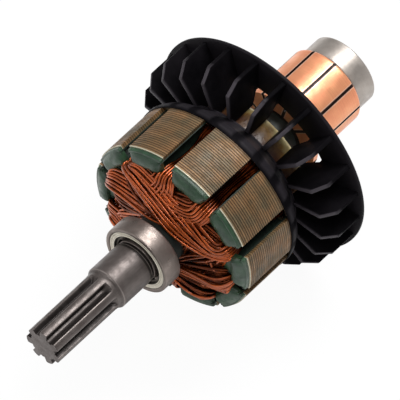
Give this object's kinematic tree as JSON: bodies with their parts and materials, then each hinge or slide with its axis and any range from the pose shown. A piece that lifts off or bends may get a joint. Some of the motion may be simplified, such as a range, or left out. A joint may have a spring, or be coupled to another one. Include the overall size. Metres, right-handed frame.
{
  "type": "motor armature",
  "caption": "Wound armature of a universal motor with pinion shaft, laminated core, cooling fan, commutator and ball bearings.",
  "frame": {"origin": "centre of the front ball bearing, on the shaft's axis", "axes": "Y runs along the shaft: +Y towards the commutator and the rear bearing, -Y towards the pinion. X and Z lie across the shaft."},
  "size_m": [0.0722, 0.1271, 0.0722],
  "materials": {
    "shaft_steel": "turned and ground steel, oil-darkened, soft sheen",
    "bearing_steel": "ground and polished bearing steel",
    "shield_steel": "pressed sheet, satin",
    "cage_steel": "pressed steel, dull",
    "bush_steel": "turned steel",
    "core_laminations": "varnished stack of punched sheets, tan brown, satin",
    "green_epoxy": "fluidised epoxy coating, slightly uneven, satin",
    "sleeve_insulation": "dark moulded sleeve, dull",
    "liner_paper": "insulating paper, dark green",
    "enamelled_copper": "enamelled round copper wire under varnish, glossy orange brown",
    "amber_varnish": "varnish over tape and leads, uneven",
    "fan_plastic": "moulded black plastic, satin",
    "commutator_copper": "turned bare copper, fine brush marks",
    "commutator_resin": "moulded resin, dull"
  },
  "bodies": {
    "front_race": {"front_bearing_outer_race": "bearing_steel", "front_bearing_front_shield": "shield_steel", "front_bearing_rear_shield": "shield_steel"},
    "rotor": {"shaft": "shaft_steel", "front_bearing_inner_race": "bearing_steel", "rear_bearing_inner_race": "bearing_steel", "front_shaft_sleeve": "sleeve_insulation", "rear_shaft_sleeve": "sleeve_insulation", "core_stack": "core_laminations", "front_end_insulation": "green_epoxy", "rear_end_insulation": "green_epoxy", "slot_liners": "liner_paper", "coil_01": "enamelled_copper", "coil_02": "enamelled_copper", "coil_03": "enamelled_copper", "coil_04": "enamelled_copper", "coil_05": "enamelled_copper", "coil_06": "enamelled_copper", "coil_07": "enamelled_copper", "coil_08": "enamelled_copper", "coil_09": "enamelled_copper", "coil_10": "enamelled_copper", "rear_coil_wrap": "amber_varnish", "lead_wires": "enamelled_copper", "fan": "fan_plastic", "commutator_bar_01": "commutator_copper", "commutator_bar_02": "commutator_copper", "commutator_bar_03": "commutator_copper", "commutator_bar_04": "commutator_copper", "commutator_bar_05": "commutator_copper", "commutator_bar_06": "commutator_copper", "commutator_bar_07": "commutator_copper", "commutator_bar_08": "commutator_copper", "commutator_bar_09": "commutator_copper", "commutator_bar_10": "commutator_copper", "commutator_moulding": "commutator_resin", "commutator_bush": "bush_steel"},
    "front_cage": {"front_bearing_cage": "cage_steel", "front_bearing_balls": "bearing_steel"},
    "rear_race": {"rear_bearing_outer_race": "bearing_steel", "rear_bearing_front_shield": "shield_steel", "rear_bearing_rear_shield": "shield_steel"},
    "rear_cage": {"rear_bearing_cage": "cage_steel", "rear_bearing_balls": "bearing_steel"}
  },
  "joints": [
    {"name": "armature_spin", "type": "hinge", "parent": "front_race", "child": "rotor", "pos_m": [0, 0, 0], "axis": [0, 1, 0], "continuous": true},
    {"name": "front_cage_spin", "type": "hinge", "parent": "front_race", "child": "front_cage", "pos_m": [0, 0, 0], "axis": [0, 1, 0], "continuous": true},
    {"name": "rear_race_spin", "type": "hinge", "parent": "rotor", "child": "rear_race", "pos_m": [0, 0.08165, 0], "axis": [0, 1, 0], "continuous": true},
    {"name": "rear_cage_spin", "type": "hinge", "parent": "rotor", "child": "rear_cage", "pos_m": [0, 0.08165, 0], "axis": [0, 1, 0], "continuous": true}
  ],
  "couplings": [
    {"joint": "front_cage_spin", "follows": "armature_spin", "ratio": 0.4},
    {"joint": "rear_cage_spin", "follows": "rear_race_spin", "ratio": 0.63}
  ]
}
